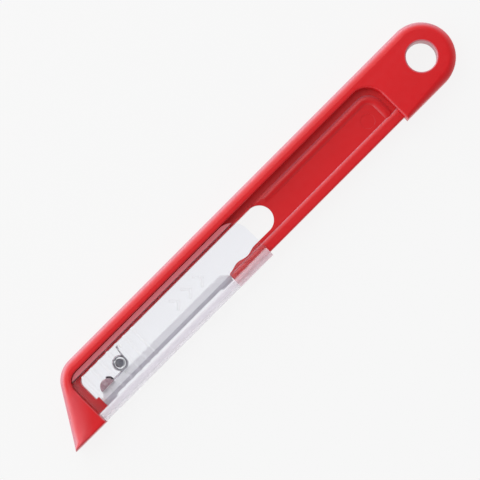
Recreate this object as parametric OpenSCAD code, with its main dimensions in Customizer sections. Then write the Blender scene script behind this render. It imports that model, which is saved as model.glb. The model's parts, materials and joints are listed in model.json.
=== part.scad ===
// Pocket grafting knife: a one-piece moulded handle with a long window, a strip blade fixed
// along the window's open side, and a clear snap-on guard that slides back along the arm.
// +X points to the hanging hole, +Y to the spine and +Z to the front. Millimetres.

/* [Handle] */
// Length from the beak's tip to the round end
body_length = 139.1; // [139:0.1:141]
// Width from the spine to the cutting side
body_width = 17.45; // [17.4:0.05:17.6]
// Thickness of the spine, the beak and the cap
body_thick = 7; // [6.8:0.1:7.4]
// Rounding of the handle's outer edges
edge_round = 1.2; // [0.8:0.1:1.4]
// Angle between the beak's slanted front and the knife's axis
beak_slant = 58.4; // [56:0.2:60]
// Radius of the corner between the slanted front and the spine
beak_round = 7; // [6:0.5:8]
// Diameter of the hanging hole
hang_hole_d = 7.8; // [6:0.1:8]
// Distance of the hanging hole's centre from the round end
hang_hole_inset = 8.6; // [8.4:0.1:9]

/* [Recess] */
// Thickness of the web and the arm between the two recesses
web_thick = 3; // [2.8:0.1:3]
// Width of the full-thickness spine
spine_width = 3.175; // [3:0.025:3.2]
// Depth of the guard's groove below the web's face
groove_depth = 0.7; // [0.6:0.05:0.8]
// Width of the guard's groove
groove_width = 1.6; // [1.6:0.05:1.7]
// Depth of the pocket below the web's face
pocket_depth = 0.5; // [0.3:0.05:0.6]
// Width of the bead that borders the pocket
bead_width = 2.35; // [2.2:0.05:2.4]
// Gap between the arm's lower edge and the cutting side of the handle
arm_rise = 1.05; // [1.05:0.05:1.2]

/* [Blade] */
// Length of the blade between its seats
blade_length = 44.3; // [44:0.1:44.3]
// Thickness of the blade
blade_thick = 0.4; // [0.3:0.05:0.5]
// Height of the blade from its back to the cutting edge
blade_height = 2.75; // [2.6:0.05:2.8]
// Height of the ground bevel
bevel_height = 1; // [0.8:0.1:1.2]

/* [Guard] */
// Length of the guard
guard_length = 58.625; // [58:0.025:58.65]
// Wall of the guard's front and back plates
guard_wall = 1.2; // [1:0.05:1.3]
// Gap between the guard's plates and the web
guard_gap = 0.25; // [0.2:0.05:0.3]
// Outer rounding of the guard's lower edges
guard_round = 2; // [1.5:0.1:2.2]
// Number of thumb ribs on each plate
rib_count = 7; // [3:1:7]
// Pitch of the thumb ribs
rib_pitch = 2.875; // [2.5:0.025:2.9]
// Number of direction chevrons on each plate
chevron_count = 3; // [1:1:4]

/* [Latch] */
// Radius of the half-round foot that runs over the detent
foot_r = 2; // [1.8:0.05:2.05]
// Angle up the foot's side where the spring's hook ends
hook_angle = 65; // [40:5:80]
// Diameter of the pin inside the spring
pin_d = 2.2; // [2:0.1:2.4]
// Diameter of the spring wire
wire_d = 0.5; // [0.4:0.05:0.5]
// Mean radius of the spring coil
coil_r = 1.75; // [1.7:0.05:1.8]
// Turns in the spring coil
coil_turns = 4; // [3:1:5]

/* [Hidden] */
$fn = 64;
facets = 32;
slip = 0.02;
over = 1;

half_w = body_width / 2;
x_tip = -body_length / 2;
x_end = body_length / 2;
x_cap = x_end - half_w;
x_hole = x_end - hang_hole_inset;
mid_z = body_thick / 2;
web_z0 = mid_z - web_thick / 2;
web_z1 = mid_z + web_thick / 2;
face_depth = body_thick - web_z1;

// Recess for the guard
lip_x = -58.9;
step_x = 47.45;
recess_top = half_w - spine_width;
lip_round = 3.5;
step_round = 5.2;
arm_bottom = -half_w + arm_rise;

// Window, arm and detent
window_left = -56.8;
window_top = 3.55;
window_round = 1.9;
window_end_r = 3.65;
window_end_x = 3.625;
arm_top = window_top - 2 * window_end_r;
nose_x = -11.3;
nose_round = 0.6;
detent_mid = arm_top - 0.28;
detent_height = 0.3;
detent_peak_x = -7.8;
detent_period = 6;
detent_end_x = detent_peak_x + detent_period;

// Bead around the pocket
bead_land = 0.1;
bead_sink = 0.2;
bead_y = recess_top - groove_width - bead_land - bead_width / 2;
bead_x = 44.95;
bead_turn = 3;
bead_end_y = -4.875;
pocket_foot_y = -4.65;
pocket_slope = 0.6;
mark_x = 40.2;
mark_y = -1.875;
mark_r = 1.875;

// Blade and its seats
blade_x0 = -55.9;
blade_x1 = blade_x0 + blade_length;
blade_back = -2.875;
blade_edge = blade_back - blade_height;
heel_drop = 0.5;
heel_length = 3.3;
corner_cut = 1.5;
tongue_length = 1.6;
tongue_y0 = -5.5;
tongue_y1 = -4.3;
seat_y0 = -6.125;
seat_y1 = -3;

// Guard
guard_x0 = -58.675;
guard_x1 = guard_x0 + guard_length;
guard_top = recess_top - 0.175;
guard_z0 = web_z0 - guard_gap - guard_wall;
guard_z1 = web_z1 + guard_gap + guard_wall;
guard_floor = arm_bottom - 0.125;
rail_height = 1.15;
rail_gap = 0.2;
guard_left_round = lip_round - 0.2;
guard_right_round = step_round - 0.2;
rib_x0 = -37.45;
rib_width = 0.9;
rib_rise = 0.3;
rib_y0 = -5.6;
rib_y1 = 3.35;
chevron_x = -25;
chevron_pitch = 4.2;
chevron_y = 0;
chevron_rise = 0.2;

// Foot, spring and pin
foot_x = -52.4;
foot_y = blade_back + 0.075;
foot_z0 = web_z0 - guard_gap + slip;
foot_z1 = web_z1 + guard_gap - slip;
spigot_d = 1.4;
spigot_length = 0.8;
coil_x = -46.175;
coil_y = -0.75;
socket_depth = 0.9;
stop_d = 0.9;
stop_x = -43.15;
stop_y = 2.2;

// Mirrors a shape to the back face and keeps the front one
module both_faces() {
    children();
    translate([0, 0, body_thick]) mirror([0, 0, 1]) children();
}

// A rectangle from its two opposite corners
module panel(x0, x1, y0, y1) {
    translate([x0, y0]) square([x1 - x0, y1 - y0]);
}

// A rectangle whose two upper corners are round; a radius of 0 leaves one square
module shouldered(x0, x1, y0, y1, left_r, right_r) {
    panel(x0 + left_r, x1 - right_r, y0, y1);
    panel(x0, x1, y0, y1 - max(left_r, right_r));
    if (left_r > 0) translate([x0 + left_r, y1 - left_r]) circle(left_r);
    if (left_r < right_r) panel(x0, x1 - right_r, y0, y1 - left_r);
    if (right_r > 0) translate([x1 - right_r, y1 - right_r]) circle(right_r);
    if (right_r < left_r) panel(x0 + left_r, x1, y0, y1 - right_r);
}

// One level of the handle's rounded blank, drawn in from its outline by inset
module blank_level(inset, rise) {
    deep = body_thick - 2 * rise;
    x_top = x_tip + body_width / tan(beak_slant);
    x_corner = x_top + beak_round * tan(beak_slant / 2);
    translate([x_cap, 0, rise]) cylinder(r = half_w - inset, h = deep, $fn = facets * 2);
    translate([x_corner, half_w - beak_round, rise])
        cylinder(r = beak_round - inset, h = deep, $fn = facets);
    translate([0, 0, rise]) linear_extrude(deep) polygon([
        [x_tip + inset / tan(beak_slant / 2), -half_w + inset],
        [x_corner, half_w - beak_round],
        [x_cap, -half_w + inset]
    ]);
}

// The handle's solid blank, with its outer edges rounded
module blank() {
    hull() for (turn = [0, 30, 60, 90])
        blank_level(edge_round * (1 - cos(turn)), edge_round * (1 - sin(turn)));
}

// Everything that the window and the open cutting side take out of the web
module window_cut() {
    shouldered(window_left, window_end_x, seat_y1, window_top, window_round, 0);
    translate([window_end_x, window_top - window_end_r]) circle(window_end_r);
    panel(blade_x0, window_end_x, arm_top, seat_y1);
    panel(blade_x0, nose_x, seat_y0, arm_top);
    panel(lip_x, nose_x, arm_bottom, seat_y0);
    panel(lip_x, step_x, -half_w - over, arm_bottom);
}

// The wavy top of the arm's nose, which holds the guard open
module detent_cut() {
    function wave(x) = detent_mid + detent_height * cos(360 * (x - detent_peak_x) / detent_period);
    steps = 32;
    span = detent_end_x - nose_x;
    polygon(concat(
        [[detent_end_x, arm_top + over], [nose_x - over, arm_top + over], [nose_x - over, wave(nose_x)]],
        [for (i = [0:steps]) [nose_x + span * i / steps, wave(nose_x + span * i / steps)]]
    ));
    difference() {
        translate([nose_x - over, wave(nose_x) - nose_round])
            square([over + nose_round, nose_round + over]);
        translate([nose_x + nose_round, wave(nose_x) - nose_round]) circle(nose_round);
        translate([nose_x + nose_round, arm_bottom]) square([over, -arm_bottom]);
    }
}

// The bead's round cross-section, sunk a little into the pocket's floor
module bead_profile() {
    bead_r = (pow(bead_width / 2, 2) + pow(pocket_depth, 2)) / (2 * pocket_depth);
    intersection() {
        translate([0, pocket_depth - bead_r]) circle(bead_r, $fn = facets * 3);
        panel(-bead_width, bead_width, -bead_sink, pocket_depth + over);
    }
}

// The bead along the groove, around the corner and down to the arm
module bead() {
    corner_x = bead_x - bead_turn;
    corner_y = bead_y - bead_turn;
    translate([0, 0, web_z1 - pocket_depth]) {
        translate([window_end_x, bead_y, 0]) rotate([90, 0, 90])
            linear_extrude(corner_x - window_end_x) bead_profile();
        translate([corner_x, corner_y, 0]) rotate_extrude(angle = 90)
            translate([bead_turn, 0]) bead_profile();
        translate([bead_x, corner_y, 0]) rotate([90, 0, 0])
            linear_extrude(corner_y - bead_end_y) bead_profile();
    }
}

// The recess that the guard's plate slides in, with its groove and its pocket
module recess_cut() {
    translate([0, 0, web_z1]) linear_extrude(face_depth + over)
        shouldered(lip_x, step_x, -half_w - over, recess_top, lip_round, step_round);
    translate([0, 0, web_z1 - groove_depth]) linear_extrude(groove_depth + over) difference() {
        shouldered(lip_x, step_x, bead_end_y, recess_top, lip_round, step_round);
        shouldered(lip_x - over, bead_x + bead_width / 2 + bead_land, -half_w - over,
            recess_top - groove_width, 0, bead_turn + bead_width / 2 + bead_land);
    }
    translate([window_end_x, pocket_foot_y, web_z1 - pocket_depth])
        cube([step_x - window_end_x, recess_top - groove_width + slip - pocket_foot_y, face_depth]);
    translate([nose_x - over, 0, 0]) rotate([90, 0, 90])
        linear_extrude(step_x - nose_x + over) polygon([
            [pocket_foot_y, web_z1 - pocket_depth],
            [pocket_foot_y - pocket_slope, web_z1 + slip],
            [pocket_foot_y - pocket_slope, web_z1 + over],
            [detent_mid + over, web_z1 + over],
            [detent_mid + over, web_z1 - pocket_depth]
        ]);
    translate([mark_x, mark_y, web_z1 - pocket_depth - 0.1]) difference() {
        cylinder(r = mark_r, h = over);
        translate([0, 0, -over]) cylinder(r = mark_r - 0.2, h = over * 3);
    }
}

// The tongue at each end of the blade, or its slot when grown by a gap
module tongues(gap) {
    translate([blade_x0 - tongue_length - gap, tongue_y0 - gap, mid_z - blade_thick / 2 - gap])
        cube([blade_length + 2 * tongue_length + 2 * gap, tongue_y1 - tongue_y0 + 2 * gap,
            blade_thick + 2 * gap]);
}

// One moulding: beak, spine, web, arm and cap
module handle() {
    color([0.86, 0.12, 0.12]) {
        difference() {
            blank();
            both_faces() recess_cut();
            translate([0, 0, -over]) linear_extrude(body_thick + 2 * over) window_cut();
            translate([0, 0, -over]) linear_extrude(body_thick + 2 * over) detent_cut();
            translate([x_hole, 0, -over]) cylinder(d = hang_hole_d, h = body_thick + 2 * over);
            tongues(slip);
        }
        difference() {
            both_faces() bead();
            translate([window_end_x, window_top - window_end_r, -over])
                cylinder(r = window_end_r, h = body_thick + 2 * over);
        }
    }
}

// The blade's outline between its seats, with deeper ends
module blade_outline() {
    polygon([
        [blade_x0, seat_y0],
        [blade_x0 + heel_length, seat_y0],
        [blade_x0 + heel_length + heel_drop, blade_edge],
        [blade_x1 - heel_length - heel_drop, blade_edge],
        [blade_x1 - heel_length, seat_y0],
        [blade_x1, seat_y0],
        [blade_x1, blade_back - corner_cut],
        [blade_x1 - corner_cut, blade_back],
        [blade_x0 + corner_cut, blade_back],
        [blade_x0, blade_back - corner_cut]
    ]);
}

// A steel strip, ground on both sides along its cutting edge
module blade() {
    color([0.78, 0.78, 0.81]) difference() {
        union() {
            translate([0, 0, mid_z - blade_thick / 2]) linear_extrude(blade_thick) blade_outline();
            tongues(0);
        }
        both_faces() translate([blade_x0 + heel_length + heel_drop, 0, mid_z])
            rotate([90, 0, 90]) linear_extrude(blade_length - 2 * (heel_length + heel_drop)) polygon([
                [blade_edge - slip, slip],
                [blade_edge + bevel_height, blade_thick / 2],
                [blade_edge + bevel_height, blade_thick],
                [blade_edge - slip, blade_thick]
            ]);
    }
}

// Cross-section of the guard in Y and Z: a channel with a rail along each upper edge
module guard_section() {
    inner_z0 = web_z0 - guard_gap;
    inner_z1 = web_z1 + guard_gap;
    difference() {
        union() {
            translate([-half_w + guard_round, guard_z0])
                square([guard_top + half_w - guard_round, guard_z1 - guard_z0]);
            translate([-half_w, guard_z0 + guard_round])
                square([guard_round + slip, guard_z1 - guard_z0 - 2 * guard_round]);
            for (z = [guard_z0 + guard_round, guard_z1 - guard_round])
                translate([-half_w + guard_round, z]) circle(guard_round);
        }
        translate([guard_floor, inner_z0])
            square([guard_top - guard_floor + over, inner_z1 - inner_z0]);
    }
    rail_reach = guard_gap + groove_depth - rail_gap;
    for (z = [inner_z0, inner_z1 - rail_reach])
        translate([guard_top - rail_height, z]) square([rail_height, rail_reach]);
}

// One chevron that points the way the guard opens
module chevron() {
    for (side = [-1, 1]) rotate(side * 45) translate([-2.2, -0.3]) square([2.5, 0.6]);
}

// Thumb ribs and chevrons that stand on the guard's plate
module guard_grip() {
    for (i = [0:rib_count - 1])
        translate([rib_x0 - i * rib_pitch - rib_width, rib_y0, guard_z1 - slip])
            cube([rib_width, rib_y1 - rib_y0, rib_rise + slip]);
    for (i = [0:chevron_count - 1])
        translate([chevron_x + i * chevron_pitch, chevron_y, guard_z1 - slip])
            linear_extrude(chevron_rise + slip) chevron();
}

// Clear snap-on channel that wraps the arm and covers the blade
module guard() {
    color([0.92, 0.93, 0.96, 0.45]) difference() {
        union() {
            intersection() {
                translate([guard_x0, 0, 0]) rotate([90, 0, 90])
                    linear_extrude(guard_length) guard_section();
                linear_extrude(body_thick) shouldered(guard_x0, guard_x1, -half_w - over,
                    guard_top, guard_left_round, guard_right_round);
            }
            both_faces() guard_grip();
            translate([stop_x, stop_y, guard_z0 + guard_wall / 2])
                cylinder(d = stop_d, h = guard_z1 - guard_z0 - guard_wall);
        }
        both_faces() {
            translate([coil_x, coil_y, mid_z])
                cylinder(d = pin_d + 2 * slip, h = web_z1 + guard_gap + socket_depth - mid_z);
            translate([foot_x, foot_y + foot_r / 2, mid_z])
                cylinder(d = spigot_d + 2 * slip, h = web_z1 + guard_gap + spigot_length - mid_z);
        }
    }
}

// Half-round foot between the guard's plates, just above the blade's back
module guide_foot() {
    color([0.66, 0.5, 0.54]) {
        translate([foot_x, foot_y, foot_z0]) linear_extrude(foot_z1 - foot_z0) intersection() {
            circle(foot_r);
            translate([-foot_r, 0]) square([2 * foot_r, foot_r]);
        }
        translate([foot_x, foot_y + foot_r / 2, foot_z0 - spigot_length + 2 * slip])
            cylinder(d = spigot_d, h = foot_z1 - foot_z0 + 2 * spigot_length - 4 * slip);
    }
}

// Centre line of the spring: hook around the foot, lower leg, coil, then upper leg
function coil_point(turn) = let (
    top = wire_d * 1.1 * coil_turns / 2,
    share = turn / coil_turns
) [
    coil_x + coil_r * cos(360 * turn - 90),
    coil_y + coil_r * sin(360 * turn - 90),
    mid_z - top + 2 * top * share
];
coil_steps = 16;
hook_steps = 6;
last_turn = coil_turns + 0.25;
hook_r = foot_r + wire_d / 2 + slip;
hook_start = asin((coil_y - coil_r - foot_y) / hook_r) + 5;
function hook_point(angle) =
    [foot_x + hook_r * cos(angle), foot_y + hook_r * sin(angle), coil_point(0)[2]];
spring_path = concat(
    [for (i = [0:hook_steps]) hook_point(hook_angle + (hook_start - hook_angle) * i / hook_steps)],
    [[foot_x + hook_r + 0.3, coil_y - coil_r, coil_point(0)[2]]],
    [for (i = [0:last_turn * coil_steps]) coil_point(i / coil_steps)],
    [[coil_x + coil_r + 0.05, coil_y + 1, coil_point(last_turn)[2]],
     [stop_x - stop_d / 2 - wire_d / 2 - 0.05, stop_y + 0.7, coil_point(last_turn)[2]]]
);

// One ring of the wire's section, square to the path at point i
function unit(v) = v / norm(v);
function wire_ring(path, i, sides) = let (
    a = path[max(i - 1, 0)],
    b = path[min(i + 1, len(path) - 1)],
    along = unit(b - a),
    across = unit(cross(along, [0, 0, 1])),
    up = cross(across, along)
) [for (k = [0:sides - 1]) path[i] + wire_d / 2 * (across * cos(360 * k / sides) + up * sin(360 * k / sides))];

// Steel torsion spring that presses the foot down
module torsion_spring() {
    sides = 8;
    rings = len(spring_path);
    points = [for (i = [0:rings - 1]) each wire_ring(spring_path, i, sides)];
    walls = [for (i = [0:rings - 2], k = [0:sides - 1])
        let (n = (k + 1) % sides)
        [i * sides + k, (i + 1) * sides + k, (i + 1) * sides + n, i * sides + n]];
    first_end = [for (k = [0:sides - 1]) k];
    last_end = [for (k = [sides - 1:-1:0]) (rings - 1) * sides + k];
    color([0.55, 0.55, 0.6]) polyhedron(points, concat(walls, [first_end, last_end]));
}

// Steel pin that carries the spring between the guard's plates
module spring_pin() {
    reach = web_thick / 2 + guard_gap + socket_depth - slip;
    color([0.45, 0.45, 0.5]) translate([coil_x, coil_y, mid_z - reach])
        cylinder(d = pin_d, h = 2 * reach);
}

handle();
blade();
guard();
guide_foot();
torsion_spring();
spring_pin();
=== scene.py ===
"""The looks of the grafting knife: red moulded handle, clear sliding guard, steel strip blade.
"""
import json
import math

import bmesh
import bpy
from mathutils import Matrix, Vector, geometry


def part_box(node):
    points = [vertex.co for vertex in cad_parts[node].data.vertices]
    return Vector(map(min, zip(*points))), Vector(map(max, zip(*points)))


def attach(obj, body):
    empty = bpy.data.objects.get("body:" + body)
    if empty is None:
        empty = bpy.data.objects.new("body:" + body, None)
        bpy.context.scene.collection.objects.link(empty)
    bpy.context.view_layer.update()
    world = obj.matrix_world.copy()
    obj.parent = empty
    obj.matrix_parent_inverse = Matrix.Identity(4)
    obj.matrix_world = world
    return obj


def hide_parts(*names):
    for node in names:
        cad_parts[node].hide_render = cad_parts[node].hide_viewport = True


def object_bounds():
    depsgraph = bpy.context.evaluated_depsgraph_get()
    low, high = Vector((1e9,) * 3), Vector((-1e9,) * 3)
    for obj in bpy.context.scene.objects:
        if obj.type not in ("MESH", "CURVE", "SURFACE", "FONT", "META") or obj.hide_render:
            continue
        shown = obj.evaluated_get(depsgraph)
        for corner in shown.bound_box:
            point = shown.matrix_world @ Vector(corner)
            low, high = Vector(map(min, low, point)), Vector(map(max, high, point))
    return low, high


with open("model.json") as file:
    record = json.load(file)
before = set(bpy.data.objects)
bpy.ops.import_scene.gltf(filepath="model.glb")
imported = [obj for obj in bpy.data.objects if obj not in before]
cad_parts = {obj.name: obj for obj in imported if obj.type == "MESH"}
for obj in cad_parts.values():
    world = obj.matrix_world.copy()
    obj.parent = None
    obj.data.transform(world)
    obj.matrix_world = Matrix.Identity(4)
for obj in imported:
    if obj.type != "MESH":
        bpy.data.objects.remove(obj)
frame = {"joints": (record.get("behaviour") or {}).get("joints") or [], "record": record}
cad_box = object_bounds()

# A millimetre in metres, and how close points are to be welded, in millimetres
MM = 0.001
WELD = 0.0005

HANDLE = "knife_handle"
GUARD = "sliding_guard"


# ---------------------------------------------------------------- sizes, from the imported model
def mm_box(node):
    """A node's lowest and highest corners, in millimetres."""
    low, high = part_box(node)
    return low / MM, high / MM


handle_lo, handle_hi = mm_box("handle")
guard_lo, guard_hi = mm_box("guard")
blade_lo, blade_hi = mm_box("blade")
foot_lo, foot_hi = mm_box("guide_foot")
pin_lo, pin_hi = mm_box("spring_pin")
spring_lo, spring_hi = mm_box("torsion_spring")
travel = frame["joints"][0]["range_m"][1] / MM
hang_mount = next(m for m in frame["record"]["mounts"] if m["name"] == "hang_hole")

thick = handle_hi.z
mid_z = thick / 2
half_w = handle_hi.y
cap_x = handle_hi.x - half_w
hole_x = hang_mount["pos_m"][0] / MM
hole_r = hang_mount["dims"]["r_mm"]

# Latch: the foot and its spigots, the coil round its pin, the wire and its hook, and the play between them
foot_x = (foot_lo.x + foot_hi.x) / 2
foot_r = (foot_hi.x - foot_lo.x) / 2
spigot_y = foot_lo.y + foot_r / 2
spigot_r = 0.7
coil_x = (pin_lo.x + pin_hi.x) / 2
coil_y = (pin_lo.y + pin_hi.y) / 2
pin_r = (pin_hi.x - pin_lo.x) / 2
play = 0.02
wire_r = 0.25
hook_r = foot_r + wire_r + play


# ---------------------------------------------------------------- sizes of shapes inside those boxes
# Web, recess and window of the handle
web_half = 1.5
groove_half = 0.8
pocket_half = 1.0
lip_x = guard_lo.x - 0.225
step_x = guard_hi.x + travel + 0.2
guard_top = 5.375
recess_top = guard_top + 0.175
lip_round = 3.5
step_round = 5.2
lip_centre = (lip_x + lip_round, recess_top - lip_round)
step_centre = (step_x - step_round, recess_top - step_round)
groove_edge = recess_top - 1.6
arm_bottom = -half_w + 1.05
arm_slope_y = -5.25
window_left = -56.8
window_top = 3.55
window_round = 1.9
window_end_x = 3.625
window_end_r = 3.65
window_end = (window_end_x, window_top - window_end_r)
arm_top = window_top - 2 * window_end_r
nose_x = -11.3
seat_x = -55.9
seat_top = -3.0
seat_bottom = blade_lo.y

# How far the web's hidden edges run into the frame round it, and the rounding of its open edges
sunk = 0.5
web_edge = 0.12

# Detent wave on the nose
wave_mid = arm_top - 0.28
wave_height = 0.3
wave_peak_x = -7.8
wave_period = 6.0
wave_end_x = wave_peak_x + wave_period

# Beak
beak_slant = math.radians(58.4)
beak_round = 7.0

# Blade between its seats
blade_length = 44.3
bevel_y = -4.625
edge_y = -5.625

# Section and ribs of the guard
guard_inner = web_half + 0.25
guard_left_r = lip_round - 0.2
guard_right_r = step_round - 0.2
rib_count, rib_pitch, rib_width, rib_rise = 7, 2.875, 0.9, 0.3
rib_first_x = -37.45 - rib_width / 2
rib_low, rib_high = -5.6, 3.2
plate_top_z = guard_hi.z - rib_rise
plate_low_z = guard_lo.z + rib_rise


# ---------------------------------------------------------------- outlines
def arc(cx, cy, r, start, end, steps):
    """Points along an arc, with its angles in degrees."""
    angles = [math.radians(start + (end - start) * i / steps) for i in range(steps + 1)]
    return [(cx + r * math.cos(a), cy + r * math.sin(a)) for a in angles]


def circle(x, y, r, sides):
    """Points round a full circle, anticlockwise."""
    return arc(x, y, r, 0, 360 * (sides - 1) / sides, sides - 1)


def rounded(points, edge):
    """Gives every point of an outline the same edge rounding."""
    return [(x, y, edge) for x, y in points]


def inset_normals(loop):
    """The direction into the material at each point.

    It is lengthened at corners, so that edges keep their distance, up to a limit at sharp ones."""
    limit = 0.3
    count = len(loop)
    result = []
    for i in range(count):
        before = Vector(loop[i][:2]) - Vector(loop[i - 1][:2])
        after = Vector(loop[(i + 1) % count][:2]) - Vector(loop[i][:2])
        n1 = Vector((-before.y, before.x)).normalized()
        n2 = Vector((-after.y, after.x)).normalized()
        result.append((n1 + n2) / max(1 + n1.dot(n2), limit))
    return result


def heading(path, i):
    """The direction of a path at its point i."""
    return (path[min(i + 1, len(path) - 1)] - path[max(i - 1, 0)]).normalized()


# ---------------------------------------------------------------- mesh tools
def clean(mesh, weld=False, slivers=False):
    """Makes all faces look outwards, after welding points that coincide and dropping slivers if asked to."""
    work = bmesh.new()
    work.from_mesh(mesh)
    if weld:
        bmesh.ops.remove_doubles(work, verts=work.verts, dist=WELD)
    if slivers:
        bmesh.ops.dissolve_degenerate(work, edges=work.edges, dist=WELD)
    bmesh.ops.recalc_face_normals(work, faces=work.faces)
    work.to_mesh(mesh)
    work.free()


def new_object(name, verts, faces):
    """An object in the scene whose faces all look outwards."""
    mesh = bpy.data.meshes.new(name)
    mesh.from_pydata([tuple(v) for v in verts], [], faces)
    clean(mesh)
    obj = bpy.data.objects.new(name, mesh)
    bpy.context.scene.collection.objects.link(obj)
    return obj


def band(a, b, count):
    """The faces between two rings of count points each, whose first points are numbers a and b."""
    return [(a + k, a + (k + 1) % count, b + (k + 1) % count, b + k) for k in range(count)]


def loft(name, rings):
    """A closed shape through rings of equally many points, with flat ends."""
    count, last = len(rings[0]), (len(rings) - 1) * len(rings[0])
    faces = [face for a in range(0, last, count) for face in band(a, a + count, count)]
    faces += [tuple(reversed(range(count))), tuple(range(last, last + count))]
    return new_object(name, [point for ring in rings for point in ring], faces)


def plate(name, loops, z0, z1, steps=6):
    """A closed plate whose edges are rounded by each point's own amount.

    loops holds the outline, anticlockwise, then any holes, clockwise, as (x, y, width, height) of the
    rounding. The height may be left out where it equals the width."""
    verts, faces, top, bottom = [], [], [], []
    turns = [math.pi / 2 * k / steps for k in range(steps + 1)]
    levels = [(t, -1) for t in reversed(turns)] + [(t, 1) for t in turns]
    for loop in loops:
        normals = inset_normals(loop)
        count, start = len(loop), len(verts)
        for turn, side in levels:
            for (x, y, edge, *height), normal in zip(loop, normals):
                inset = normal * edge * (1 - math.cos(turn))
                rise = (height[0] if height else edge) * (1 - math.sin(turn))
                verts.append((x + inset.x, y + inset.y, z1 - rise if side > 0 else z0 + rise))
        last = start + (len(levels) - 1) * count
        for a in range(start, last, count):
            faces += band(a, a + count, count)
        bottom.append(range(start, start + count))
        top.append(range(last, last + count))
    for rings, flip in ((bottom, True), (top, False)):
        numbers = [i for ring in rings for i in ring]
        flat = [[Vector((*verts[i][:2], 0)) for i in ring] for ring in rings]
        for triangle in geometry.tessellate_polygon(flat):
            corners = [numbers[i] for i in triangle]
            a, b, c = (Vector(verts[i][:2]) for i in corners)
            if ((b - a).cross(c - a) < 0) != flip:
                corners.reverse()
            faces.append(corners)
    return new_object(name, verts, faces)


def layer(name, outline, half, steps):
    """A plate on both sides of the middle plane."""
    return plate(name, [outline], mid_z - half, mid_z + half, steps)


def tube(name, path, radius, sides=14):
    """A round wire along a path, with flat ends."""
    path = [Vector(p) for p in path]
    turns = [math.tau * k / sides for k in range(sides)]
    rings = []
    for i, point in enumerate(path):
        along = heading(path, i)
        across = along.cross(Vector((0, 0, 1))).normalized()
        over = across.cross(along)
        rings.append([point + radius * (across * math.cos(a) + over * math.sin(a)) for a in turns])
    return loft(name, rings)


def lathe(name, profile, x, y, sides=48):
    """A turned shape about a vertical axis; profile is (radius, z) from bottom to top."""
    turns = [math.tau * k / sides for k in range(sides)]
    return loft(name, [[(x + r * math.cos(a), y + r * math.sin(a), z) for a in turns] for r, z in profile])


def chamfered_pin(name, r, chamfer, z0, z1, x, y, sides=48):
    """A round upright pin with a chamfer at each end."""
    profile = [(r - chamfer, z0), (r, z0 + chamfer), (r, z1 - chamfer), (r - chamfer, z1)]
    return lathe(name, profile, x, y, sides)


def combine(base, others, operation="UNION"):
    """Joins or cuts closed shapes into one closed mesh."""
    for other in others:
        change = base.modifiers.new("combine", "BOOLEAN")
        change.operation = operation
        change.solver = "EXACT"
        change.object = other
        bpy.context.view_layer.update()
        result = bpy.data.meshes.new_from_object(base.evaluated_get(bpy.context.evaluated_depsgraph_get()))
        base.modifiers.clear()
        base.data = result
        bpy.data.objects.remove(other)


def finish(obj, body, node, material, sharp=35):
    """Cleans a piece, brings it to metres, and hangs it on its body in place of its CAD node.

    Edges that turn by more than sharp degrees stay crisp."""
    clean(obj.data, weld=True)
    obj.data.transform(Matrix.Scale(MM, 4))
    obj.data.polygons.foreach_set("use_smooth", [True] * len(obj.data.polygons))
    obj.data.set_sharp_from_angle(angle=math.radians(sharp))
    weigh = obj.modifiers.new("weigh", "WEIGHTED_NORMAL")
    weigh.keep_sharp = True
    obj.data.materials.clear()
    obj.data.materials.append(material)
    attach(obj, body)
    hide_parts(node)


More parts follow.
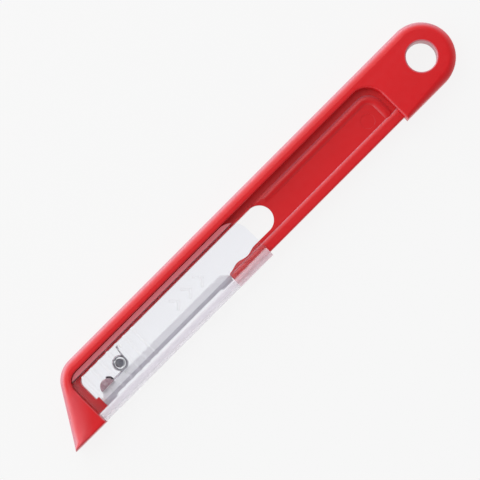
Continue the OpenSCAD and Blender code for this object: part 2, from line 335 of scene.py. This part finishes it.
# ---------------------------------------------------------------- materials
class Nodes:
    """A short way to wire the nodes of a material or a world."""

    def __init__(self, owner, shader="Principled BSDF", space="Object"):
        owner.use_nodes = True
        self.owner = owner
        self.tree = owner.node_tree
        self.shader = self.tree.nodes[shader]
        self.coords = self.tree.nodes.new("ShaderNodeTexCoord").outputs[space]

    def link(self, source, target):
        self.tree.links.new(source, target)

    def feed(self, name, source):
        """Links a source to one of the shader's own sockets."""
        self.link(source, self.shader.inputs[name])

    def set(self, **values):
        """Puts plain values on the shader's own sockets."""
        for key, value in values.items():
            self.shader.inputs[key.replace("_", " ")].default_value = value

    def axes(self, vector=None):
        """The X, Y and Z of a vector, or of the place on the piece."""
        node = self.tree.nodes.new("ShaderNodeSeparateXYZ")
        self.link(vector or self.coords, node.inputs["Vector"])
        return node.outputs

    def normal(self):
        """The X, Y and Z of the surface's direction."""
        return self.axes(self.tree.nodes.new("ShaderNodeNewGeometry").outputs["Normal"])

    def noise(self, scale, detail=3.0, roughness=0.5, stretch=(1, 1, 1)):
        place = self.tree.nodes.new("ShaderNodeMapping")
        place.inputs["Scale"].default_value = stretch
        self.link(self.coords, place.inputs["Vector"])
        texture = self.tree.nodes.new("ShaderNodeTexNoise")
        texture.inputs["Scale"].default_value = scale
        texture.inputs["Detail"].default_value = detail
        texture.inputs["Roughness"].default_value = roughness
        self.link(place.outputs["Vector"], texture.inputs["Vector"])
        return texture.outputs["Fac"]

    def span(self, source, low, high, start=0.3, end=0.7):
        """Maps start to low and end to high, straight between them and level beyond."""
        node = self.tree.nodes.new("ShaderNodeMapRange")
        node.inputs["From Min"].default_value = start
        node.inputs["From Max"].default_value = end
        node.inputs["To Min"].default_value = low
        node.inputs["To Max"].default_value = high
        self.link(source, node.inputs["Value"])
        return node.outputs["Result"]

    def math(self, operation, *sources):
        node = self.tree.nodes.new("ShaderNodeMath")
        node.operation = operation
        for source, target in zip(sources, node.inputs):
            self.link(source, target)
        return node.outputs["Value"]

    def ramp(self, source, stops):
        """Colours along a source; stops are (position, colour)."""
        node = self.tree.nodes.new("ShaderNodeValToRGB")
        while len(node.color_ramp.elements) < len(stops):
            node.color_ramp.elements.new(0.5)
        for element, (position, colour) in zip(node.color_ramp.elements, stops):
            element.position = position
            element.color = (*colour, 1)
        self.link(source, node.inputs["Fac"])
        return node.outputs["Color"]

    def levels(self, source, stops):
        """Plain values along a source; stops are (position, value)."""
        return self.ramp(source, [(position, (value,) * 3) for position, value in stops])

    def blend(self, factor, source, colour, way="MIX"):
        """Mixes a plain colour into a source."""
        node = self.tree.nodes.new("ShaderNodeMix")
        node.data_type = "RGBA"
        node.blend_type = way
        node.inputs["B"].default_value = (*colour, 1)
        self.link(factor, node.inputs["Factor"])
        self.link(source, node.inputs["A"])
        return node.outputs["Result"]

    def bump(self, source, strength, distance):
        node = self.tree.nodes.new("ShaderNodeBump")
        node.inputs["Strength"].default_value = strength
        node.inputs["Distance"].default_value = distance
        self.link(source, node.inputs["Height"])
        self.feed("Normal", node.outputs["Normal"])


def painted_edge_highlight(m):
    """Painted highlight on the rounded edges, most where they face the spine's side, towards the lamps."""
    tilt = m.normal()
    edges = m.levels(m.math("ABSOLUTE", tilt["Z"]), [(0.1, 0), (0.4, 1), (0.7, 0.9), (0.975, 0)])
    return m.math("MULTIPLY", edges, m.span(tilt["Y"], 0.05, 1, -0.2, 0.5))


def painted_rim_highlight(m, spot):
    """Painted highlight: a pale ring round the hanging hole."""
    reach, solid, gone, strength = 6, 0.15, 0.4, 0.75
    across = m.span(spot["X"], -1, 1, (hole_x - reach) * MM, (hole_x + reach) * MM)
    along = m.span(spot["Y"], -1, 1, -reach * MM, reach * MM)
    radius = m.math("SQRT", m.math("ADD", *(m.math("MULTIPLY", side, side) for side in (across, along))))
    return m.span(radius, strength, 0, (hole_r + solid) / reach, (hole_r + gone) / reach)


def painted_slant_highlight(m, spot):
    """Painted highlight: a pale strip along the beak's slant that fades inwards and towards the spine."""
    length, slope = 15, 0.67
    solid, gone, strength = 0.8, 7, 0.28
    full_y, gone_y = 1, 5.5
    run = m.span(spot["X"], 0, length, handle_lo.x * MM, (handle_lo.x + length) * MM)
    lean = m.span(spot["Y"], 0, 2 * half_w * slope, -half_w * MM, half_w * MM)
    inwards = m.span(m.math("SUBTRACT", run, lean), strength, 0, solid, gone)
    return m.math("MULTIPLY", inwards, m.span(spot["Y"], 1, 0, full_y * MM, gone_y * MM))


def red_plastic():
    """Moulded red plastic with a fine satin grain and faint flow clouds, with painted highlights in pale
    pink.
    """
    m = Nodes(bpy.data.materials.new("red_plastic"))
    clouds = m.noise(90, 3, 0.55, (0.5, 1, 1))
    plain = m.ramp(clouds, [(0.3, (0.64, 0.002, 0.006)), (0.7, (0.69, 0.003, 0.008))])
    spot = m.axes()
    # Painted highlights: pale pink on the rounded edges, round the hanging hole and along the beak's slant
    painted_highlights = m.math("MAXIMUM", m.math("MAXIMUM", painted_edge_highlight(m), painted_rim_highlight(m, spot)), painted_slant_highlight(m, spot))
    m.feed("Base Color", m.blend(painted_highlights, plain, (0.53, 0.205, 0.25)))
    m.feed("Roughness", m.span(m.noise(700, 4), 0.30, 0.38))
    m.bump(m.noise(3500, 2), 0.06, 0.00003)
    m.set(Specular_IOR_Level=0.5, IOR=1.5)
    return m.owner


def clear_plastic():
    """Clear polished plastic with fine handling marks, hazier at its foot, its left end and its raised marks.

    Its rail is painted red, and its lower wall pink beside the arm: painted reflections of the red handle in
    them."""
    m = Nodes(bpy.data.materials.new("clear_plastic"))
    spot = m.axes()

    # Heights on the guard, as shares of the handle's width, where one stretch ends and the next begins
    foot, wall = 0.12, 0.15
    arm_shoulder, arm_over = 0.27, 0.28
    rail_under, rail = 0.738, 0.748
    height = m.span(spot["Y"], 0, 1, -half_w * MM, half_w * MM)
    # Less clear at the foot, and on the rail, where it carries the painted red reflection of the handle
    by_height = m.levels(height, [(foot, 0.8), (wall, 1), (rail_under, 1), (rail, 0.45)])
    # Painted reflection of the arm: a pink band on the lower wall where the arm lies behind it
    low = m.levels(height, [(foot, 1), (wall, 0.07), (arm_shoulder, 0.07), (arm_over, 0)])
    by_arm = m.math("MULTIPLY", low, m.span(spot["X"], 0, 1, (nose_x - 0.1) * MM, (nose_x + 0.1) * MM))

    # Distance from the middle plane, as a share of half the thickness: only ribs and chevrons reach these
    plate_face, mark_face = 0.87, 0.89
    depth = m.math("ABSOLUTE", m.span(spot["Z"], -1, 1, 0, thick * MM))
    by_depth = m.levels(depth, [(plate_face, 1), (mark_face, 0.92)])

    # Places along the guard
    end_hazy, end_clear = -58.0, -56.5
    by_end = m.span(spot["X"], 0.98, 1, end_hazy * MM, end_clear * MM)
    along = m.math("MULTIPLY", by_end, m.levels(by_arm, [(0, 1), (1, 0.7)]))
    m.feed("Transmission Weight", m.math("MULTIPLY", m.math("MULTIPLY", by_height, by_depth), along))

    # The rail's red and the pink beside the arm are painted reflections of the red handle
    clear, hazy, red = (0.975, 0.98, 1.0), (0.97, 0.945, 0.99), (1.0, 0.30, 0.34)
    plain = m.ramp(height, [(foot, hazy), (wall, clear), (rail_under, clear), (rail, red)])
    m.feed("Base Color", m.blend(by_arm, plain, (0.98, 0.80, 0.86)))
    m.feed("Roughness", m.span(m.noise(1500, 3, 0.6, (0.4, 1, 1)), 0.02, 0.06))
    m.set(IOR=1.12, Coat_Weight=0.15, Coat_IOR=1.5, Coat_Roughness=0.06)
    return m.owner


def foot_plastic():
    """Tinted translucent plastic."""
    m = Nodes(bpy.data.materials.new("foot_plastic"))
    m.feed("Base Color", m.ramp(m.noise(900, 2), [(0.3, (0.62, 0.40, 0.45)), (0.7, (0.70, 0.48, 0.53))]))
    m.feed("Roughness", m.span(m.noise(2500, 3), 0.18, 0.3))
    m.set(Transmission_Weight=0.45, IOR=1.46)
    return m.owner


def steel(name, dark, light, stretch, rough, shade=None):
    """Steel with a fine grain, which runs along an axis on which stretch is smaller than 1.

    shade is an axis, the place below which the colour is darker, and the tint it takes there."""
    m = Nodes(bpy.data.materials.new(name))
    grain = 2500
    tone = m.ramp(m.noise(grain, 4, 0.6, stretch), [(0.3, dark), (0.7, light)])
    if shade:
        axis, edge, tint = shade
        below = m.span(m.axes()[axis], 1, 0, (edge - 0.1) * MM, (edge + 0.1) * MM)
        tone = m.blend(below, tone, tint, "MULTIPLY")
    m.feed("Base Color", tone)
    m.feed("Roughness", m.span(m.noise(grain, 4, 0.6, stretch), *rough))
    m.bump(m.noise(grain * 2, 3, 0.6, stretch), 0.15, 0.00001)
    m.set(Metallic=0.75)
    return m.owner


# ---------------------------------------------------------------- handle
def frame_outline():
    """The full-thickness part: beak, spine and cap around the recess, as one C.

    The outer edges are rounded more widely than those of the recess, and the beak thins towards its slant.
    On the slant, each point is a share of the way down to the tip, with the width of its rounding."""
    # Widths and heights of the roundings, and places along the lower edge
    outer, outer_height = 2.0, 1.7
    corner_width, slant_height = 2.3, 2.4
    inner, step, cap_edge = 0.4, 0.7, 1.0
    tip_x, tip_height = handle_lo.x + 1.8, 1.2
    under_x, near = handle_lo.x + 5, 0.9
    slant_widths = ((0.12, 2.6), (0.25, 3.1), (0.37, 4.0), (0.5, 4.9), (0.62, 4.9), (0.74, 4.2),
                    (0.86, 2.7), (0.95, 0.6))

    points = [(handle_lo.x, -half_w, inner, slant_height), (tip_x, -half_w, inner, tip_height)]
    points += [(under_x, -half_w, inner), (lip_x, -half_w, inner), (lip_x, -half_w + near, inner)]
    points += rounded(arc(*lip_centre, lip_round, 180, 90, 14), inner)
    turn = arc(*step_centre, step_round, 90, 0, 18)
    points += [(x, y, inner + (step - inner) * i / (len(turn) - 1)) for i, (x, y) in enumerate(turn)]
    points += [(step_x, -half_w + near, step), (step_x, -half_w, inner), (step_x + near, -half_w, cap_edge)]
    points += [(x, y, outer, outer_height) for x, y in arc(cap_x, 0, half_w, -90, 90, 48)]

    slant_top = handle_lo.x + 2 * half_w / math.tan(beak_slant)
    corner_x = slant_top + beak_round * math.tan(beak_slant / 2)
    corner = arc(corner_x, half_w - beak_round, beak_round, 90, 90 + math.degrees(beak_slant), 16)
    for i, (x, y) in enumerate(corner):
        share = i / (len(corner) - 1)
        points.append((x, y, outer + (corner_width - outer) * share,
                       outer_height + (slant_height - outer_height) * share))
    slant_start, tip = Vector(corner[-1]), Vector((handle_lo.x, -half_w))
    points += [(*slant_start.lerp(tip, share), width, slant_height) for share, width in slant_widths]
    return points


def nose_wave(x0, x1, steps=28):
    """The wavy top of the arm's nose, from x0 to x1."""
    xs = [x0 + (x1 - x0) * i / steps for i in range(steps + 1)]
    return [(x, wave_mid + wave_height * math.cos(math.tau * (x - wave_peak_x) / wave_period)) for x in xs]


def nose_outline():
    """The arm's free end, from the wave's last peak round to the arm's lower edge."""
    corner = 0.6
    points = nose_wave(wave_end_x, nose_x + corner)
    points += arc(nose_x + corner, points[-1][1] - corner, corner, 100, 180, 6)
    points += arc(nose_x + corner, arm_bottom + corner, corner, 180, 270, 6)
    return points


def window_left_end():
    """The blade's seat in the beak and the window's left end, up to the window's top edge."""
    points = [(seat_x, seat_bottom), (seat_x, seat_top), (window_left, seat_top)]
    points += arc(window_left + window_round, window_top - window_round, window_round, 180, 90, 10)
    return points


def web():
    """The web at the level of the guard's groove, with the window and the gap for the blade."""
    points = window_left_end()
    points += arc(*window_end, window_end_r, 90, -90, 30)
    points += nose_outline()
    points += [(step_x + sunk, arm_bottom)]
    points += arc(*step_centre, step_round + sunk, 0, 90, 10)
    points += arc(*lip_centre, lip_round + sunk, 90, 180, 10)
    points += [(lip_x - sunk, seat_bottom)]
    return layer("web", rounded(points, web_edge), groove_half, 2)


def seat():
    """The beak's seat and the thin lip over the window, at full web thickness."""
    lip_slant = 1.6
    points = window_left_end()
    points += [(window_end_x, window_top), (window_end_x + lip_slant, groove_edge)]
    points += [(lip_x - sunk, groove_edge), (lip_x - sunk, seat_bottom)]
    return layer("seat", rounded(points, web_edge), web_half, 3)


def pocket():
    """The pocket's floor and the nose's upper band."""
    left_x, right_x = nose_x + 0.05, 46.2
    low_y, right_top = arm_slope_y - 0.4, -0.2
    turn_x, turn_y = 41.95, -0.225
    points = [(left_x, low_y), (right_x, low_y), (right_x, right_top)]
    points += arc(turn_x, turn_y, groove_edge - turn_y, 0, 90, 12)
    points += [(window_end_x + 0.3, groove_edge)]
    points += arc(*window_end, window_end_r + 0.02, 88, -90, 30)
    points += nose_wave(wave_end_x, nose_x + 0.6)
    points += [(left_x, wave_mid - 0.6)]
    return layer("pocket", rounded(points, web_edge), pocket_half, 2)


def arm():
    """The arm's raised face, crisp at its lower edge and sloping into the pocket."""
    crisp, slope = (0.4,), (1.1, 0.55)
    right_x, slope_top = step_x + sunk, arm_slope_y + 0.6
    points = [(nose_x, arm_bottom, *crisp), (right_x, arm_bottom, *crisp)]
    points += [(right_x, slope_top, *slope), (nose_x, slope_top, *slope)]
    return layer("arm", points, web_half, 5)


def bead_path():
    """Along the pocket's upper edge, round its corner and down its right end."""
    top_y, right_x, turn_r = 2.675, 44.95, 3.0
    turn_x, turn_y = right_x - turn_r, top_y - turn_r
    start_x = window_end_x + window_end_r + 0.8
    points = [(start_x + (turn_x - start_x) * i / 8, top_y) for i in range(8)]
    points += arc(turn_x, turn_y, turn_r, 90, 0, 14)
    points += [(right_x, turn_y - 0.5 - 1.15 * i) for i in range(5)]
    return [Vector(point) for point in points]


def bead_profile(steps=8):
    """Across the bead: an arch on each face, which stands on the pocket's floor and is as high as the web."""
    half, rise = 1.15, web_half - pocket_half
    radius = (half * half + rise * rise) / (2 * rise)
    spread = math.asin(half / radius)
    profile = []
    for side in (1, -1):
        for k in range(steps + 1):
            angle = (spread - 2 * spread * k / steps) * side
            profile.append((radius * math.sin(angle), side * (web_half - radius + radius * math.cos(angle))))
    return profile


def bead():
    """The bead around the pocket, on both faces, narrowed and lowered at its ends."""
    path = bead_path()
    profile = bead_profile()
    rings = []
    for i, point in enumerate(path):
        along = heading(path, i)
        across = Vector((-along.y, along.x))
        width, rise = (0.55, 0.1) if i in (0, len(path) - 1) else (1, 1)
        ring = []
        for offset, z in profile:
            low = min(abs(z), pocket_half)
            high = low + (abs(z) - low) * rise
            spot = point + across * offset * width
            ring.append((spot.x, spot.y, mid_z + math.copysign(high, z)))
        rings.append(ring)
    return loft("bead", rings)


def ejector_marks():
    """The ejector pin's round mark in the pocket, on both faces."""
    mark_x, mark_y, mark_r, depth = 40.2, -1.875, 1.875, 0.07
    outline = rounded(circle(mark_x, mark_y, mark_r, 24), 0.02)
    bottom = pocket_half - depth
    spans = ((mid_z + bottom, thick), (0, mid_z - bottom))
    return [plate("mark", [outline], z0, z1, 1) for z0, z1 in spans]


def handle_piece():
    """The one-piece moulding."""
    hole = list(reversed(circle(hole_x, 0, hole_r, 48)))
    body = plate("handle_moulding", [frame_outline(), rounded(hole, 0.3)], 0, thick)
    combine(body, [web(), seat(), pocket(), arm(), bead()])
    combine(body, ejector_marks(), "DIFFERENCE")
    finish(body, HANDLE, "handle", red_plastic())


# ---------------------------------------------------------------- blade
def blade_piece():
    """A thin strip, ground on both sides to its edge, with deeper heels and a tongue at each end."""
    half_t, keel = (blade_hi.z - blade_lo.z) / 2, 0.03
    x0, x1 = seat_x, seat_x + blade_length
    back, heel_y = blade_hi.y, blade_lo.y
    heel, drop, cut = 3.3, 0.5, 1.5
    tongue_low, tongue_high, tongue_share = -5.5, -4.7, 0.9
    splits = 20

    def lower(x):
        inside = min(x - x0, x1 - x)
        if inside <= heel:
            return heel_y
        return min(heel_y + (inside - heel) / drop * (edge_y - heel_y), edge_y)

    def upper(x):
        return back - max(cut - min(x - x0, x1 - x), 0)

    level = heel + drop
    insets = (0, cut / 2, cut, heel, heel + drop / 2, level)
    xs = [x0 + inset for inset in insets]
    xs += [x0 + level + i * (x1 - x0 - 2 * level) / splits for i in range(1, splits)]
    xs += [x1 - inset for inset in reversed(insets)]
    rings = []
    for x in xs:
        face = [(upper(x), half_t), (bevel_y, half_t), (lower(x), keel)]
        rings.append([(x, y, mid_z + z) for y, z in face + [(y, -z) for y, z in reversed(face)]])
    strip = loft("blade_strip", rings)
    tongue = [(blade_lo.x, tongue_low), (blade_hi.x, tongue_low), (blade_hi.x, tongue_high),
              (blade_lo.x, tongue_high)]
    combine(strip, [layer("tongue", rounded(tongue, 0.02), half_t * tongue_share, 1)])
    material = steel("blade_steel", (0.93, 0.92, 0.95), (0.99, 0.98, 1.0), (0.04, 1, 1), (0.46, 0.56),
                     shade=("Y", bevel_y, (0.64, 0.62, 0.66)))
    finish(strip, HANDLE, "blade", material, sharp=12)


# ---------------------------------------------------------------- guard
def rib_height(x):
    """How far the thumb ribs stand out at x, as a share of their height."""
    shoulder = 0.3
    nearest = min(abs(x - (rib_first_x - i * rib_pitch)) for i in range(rib_count))
    share = min(max((nearest - rib_width / 2 + shoulder) / shoulder, 0), 1)
    return 0.5 + 0.5 * math.cos(math.pi * share)


def guard_height(x):
    """The guard's upper edge at x, which is round at both ends."""
    if x < guard_lo.x + guard_left_r:
        run, r = guard_lo.x + guard_left_r - x, guard_left_r
    elif x > guard_hi.x - guard_right_r:
        run, r = x - guard_hi.x + guard_right_r, guard_right_r
    else:
        return guard_top
    return guard_top - r + math.sqrt(max(r * r - run * run, 0))


def guard_stations():
    """Where the guard's cross-sections are: close together on its round ends and on the ribs."""
    offsets = (0.15, 0.25, 0.35, 0.45, 0.6)
    plain_x, plain_pitch = -33, 4
    xs = [guard_lo.x + guard_left_r * (1 - math.cos(math.radians(a))) for a in range(0, 91, 9)]
    xs += [guard_hi.x - guard_right_r * (1 - math.cos(math.radians(a))) for a in range(0, 91, 6)]
    for i in range(rib_count):
        centre = rib_first_x - i * rib_pitch
        xs += [centre + side * offset for side in (-1, 1) for offset in offsets]
    xs += [plain_x + plain_pitch * i for i in range(7)]
    return sorted(set(round(x, 4) for x in xs))


def guard_section(x):
    """The guard's cross-section at x: round the outside, then back through the channel."""
    under_r, inner_r, bevel = 2.0, 0.35, 0.25
    floor_y = arm_bottom - 0.125
    rail_y, rail_reach, rail_slope = guard_top - 1.15, 0.75, 0.3
    top = guard_height(x)
    rail = rail_reach if top > rail_y + 0.4 else 0
    low_rail = min(rail_y, top - 0.15)
    out = plate_top_z - mid_z
    ridge = out + rib_rise * rib_height(x)
    rib_top = min(rib_high, top - 0.5)
    side = [(top, out), (rib_top + bevel, out), (rib_top, ridge), ((rib_top + rib_low) / 2, ridge),
            (rib_low, ridge), (rib_low - bevel, out)]
    side += arc(-half_w + under_r, out - under_r, under_r, 90, 180, 10)
    inside = [(top, guard_inner - rail), (low_rail, guard_inner - rail), (low_rail - rail_slope, guard_inner)]
    inside += arc(floor_y + inner_r, guard_inner - inner_r, inner_r, 90, 180, 4)
    outside = side + [(y, -z) for y, z in reversed(side)]
    channel = [(y, -z) for y, z in inside] + list(reversed(inside))
    return [(x, y, mid_z + z) for y, z in outside + channel]


def chevrons():
    """Three chevrons on each plate, pointing the way the guard opens."""
    count, first_x, pitch, root, rise = 3, -25, 4.2, 0.4, 0.18
    shape = [(0.4, 0), (-1.5, 1.9), (-1.95, 1.45), (-0.5, 0), (-1.95, -1.45), (-1.5, -1.9)]
    spans = ((plate_top_z - root, plate_top_z + rise), (plate_low_z - rise, plate_low_z + root))
    marks = []
    for i in range(count):
        outline = rounded([(first_x + pitch * i + x, y) for x, y in shape], 0.1)
        marks += [plate("chevron", [outline], z0, z1, 3) for z0, z1 in spans]
    return marks


def guard_piece():
    """The clear channel: two plates joined under the arm, with rails, ribs, chevrons, stop and sockets."""
    channel = loft("guard_channel", [guard_section(x) for x in guard_stations()])
    clean(channel.data, weld=True, slivers=True)
    stop_x, stop_y, stop_r, stop_root = -43.15, 2.2, 0.45, 0.6
    stop_profile = [(stop_r, plate_low_z + stop_root), (stop_r, plate_top_z - stop_root)]
    combine(channel, chevrons() + [lathe("stop", stop_profile, stop_x, stop_y, 24)])
    pin_socket = [(pin_r + play, pin_lo.z - play), (pin_r + play, pin_hi.z + play)]
    foot_socket = [(spigot_r + play, foot_lo.z - play), (spigot_r + play, foot_hi.z + play)]
    combine(channel, [lathe("pin_socket", pin_socket, coil_x, coil_y),
                      lathe("foot_socket", foot_socket, foot_x, spigot_y)], "DIFFERENCE")
    finish(channel, GUARD, "guard", clear_plastic(), sharp=40)


# ---------------------------------------------------------------- foot, spring and pin
def foot_piece():
    """The half-round foot, with a spigot that reaches into the guard's plates."""
    outline = [(foot_x - foot_r, foot_lo.y), (foot_x + foot_r, foot_lo.y)]
    outline += arc(foot_x, foot_lo.y, foot_r, 8, 172, 24)
    body = layer("foot_half_round", rounded(outline, 0.25), guard_inner - play, 4)
    combine(body, [chamfered_pin("spigot", spigot_r, 0.15, foot_lo.z, foot_hi.z, foot_x, spigot_y, 32)])
    finish(body, GUARD, "guide_foot", foot_plastic())


def spring_path():
    """Hook round the foot, lower leg along the blade's back, coil, then the upper leg."""
    coil_r, turns, steps = 1.75, 4.25, 28
    leg_end_x, leg_end_y = -43.9, 2.88
    z0, z1 = spring_lo.z + wire_r, spring_hi.z - wire_r
    leg_y = coil_y - coil_r
    hook_x, side_x = foot_x + hook_r, coil_x + coil_r
    hook_start, hook_end = 65, math.degrees(math.asin((leg_y - foot_lo.y) / hook_r)) + 5
    path = [(x, y, z0) for x, y in arc(foot_x, foot_lo.y, hook_r, hook_start, hook_end, 14)]
    path += [(hook_x + 0.12, leg_y + 0.06, z0)]
    path += [(hook_x + 0.35 + i * 0.55, leg_y, z0) for i in range(6)]
    for i in range(int(turns * steps) + 1):
        turn = i / steps
        angle = math.tau * turn - math.pi / 2
        path.append((coil_x + coil_r * math.cos(angle), coil_y + coil_r * math.sin(angle),
                     z0 + (z1 - z0) * turn / turns))
    path += [(side_x + 0.04, coil_y + 0.9, z1), (side_x + 0.2, coil_y + 1.9, z1), (leg_end_x, leg_end_y, z1)]
    return path


def spring_piece():
    """The torsion spring, whose hook is painted darker than the rest: painted shadow where it lies against
    the foot.
    """
    coil = tube("spring_coil", spring_path(), wire_r)
    # Painted shadow: the hook is tinted darker where it wraps the foot
    material = steel("spring_steel", (0.44, 0.43, 0.47), (0.58, 0.57, 0.61), (1, 1, 1), (0.16, 0.24),
                     shade=("X", foot_x + hook_r, (0.2, 0.14, 0.18)))
    finish(coil, GUARD, "torsion_spring", material)


def pin_piece():
    """The pin inside the spring's coil."""
    body = chamfered_pin("pin_turned", pin_r, 0.18, pin_lo.z, pin_hi.z, coil_x, coil_y)
    material = steel("pin_steel", (0.15, 0.15, 0.18), (0.26, 0.26, 0.29), (1, 1, 1), (0.3, 0.45))
    finish(body, GUARD, "spring_pin", material, sharp=30)


# ---------------------------------------------------------------- floor, light and camera, in metres
def floor():
    """A plain pale floor just under the knife."""
    half, drop = 1.6, 0.00005
    corners = [(x * half, y * half, 0) for x, y in ((-1, -1), (1, -1), (1, 1), (-1, 1))]
    ground = new_object("floor", corners, [(0, 1, 2, 3)])
    ground.location.z = -drop
    m = Nodes(bpy.data.materials.new("floor"))
    m.set(Base_Color=(0.06, 0.06, 0.06, 1), Roughness=0.9, Specular_IOR_Level=0.0,
          Emission_Color=(1, 1, 1, 1), Emission_Strength=0.875)
    ground.data.materials.append(m.owner)


def sky():
    """Soft light from all round, strongest near the horizon and on the spine's side."""
    world = bpy.data.worlds.new("studio")
    bpy.context.scene.world = world
    m = Nodes(world, "Background", "Generated")
    way = m.axes()
    by_height = m.span(way["Z"], 1.5, 0.33, 0, 0.92)
    by_side = m.span(way["Y"], 0.45, 1.55, -1, 1)
    m.feed("Strength", m.math("MULTIPLY", by_height, by_side))
    m.set(Color=(1, 1, 1, 1))


def lamps():
    """Rectangular lamps that face the origin; a lamp's power is its radiance times pi times its area."""
    for name, place, size_x, size_y, radiance in (
        ("key", (-0.05, 0.34, 0.57), 0.60, 0.40, 1.7),
        ("rim", (0.0, 0.70, 0.14), 1.2, 0.28, 1.6),
        ("beak_rim", (-0.60, 0.37, 0.16), 0.6, 0.32, 1.95),
    ):
        lamp = bpy.data.lights.new(name, "AREA")
        lamp.shape = "RECTANGLE"
        lamp.size = size_x
        lamp.size_y = size_y
        lamp.energy = radiance * math.pi * size_x * size_y
        obj = bpy.data.objects.new(name, lamp)
        obj.location = place
        obj.rotation_euler = (-Vector(place)).to_track_quat("-Z", "Y").to_euler()
        bpy.context.scene.collection.objects.link(obj)


def camera():
    """Almost straight above the front face, with the knife on the picture's diagonal.

    The picture's up lies midway between +X and +Y."""
    off_centre = Vector((-0.0033, -0.0002, 0))
    stand = Vector((0, -0.0318, 0.65))
    sensor_width, picture_width = 36, 0.120
    low, high = (Vector(corner) for corner in cad_box)
    aim = (low + high) / 2 + off_centre
    eye = aim + stand
    sight = bpy.data.cameras.new("camera")
    sight.sensor_width = sensor_width
    sight.lens = sensor_width * (eye - aim).length / picture_width
    sight.clip_start = 0.01
    obj = bpy.data.objects.new("camera", sight)
    forward = (aim - eye).normalized()
    up = Vector((1, 1, 0)).normalized()
    up = (up - forward * up.dot(forward)).normalized()
    right = forward.cross(up)
    turn = Matrix((right, up, -forward)).transposed().to_4x4()
    obj.matrix_world = Matrix.Translation(eye) @ turn
    bpy.context.scene.collection.objects.link(obj)
    bpy.context.scene.camera = obj


camera()
floor()
sky()
lamps()
handle_piece()
blade_piece()
guard_piece()
foot_piece()
spring_piece()
pin_piece()
bpy.context.scene.view_settings.view_transform = "Standard"
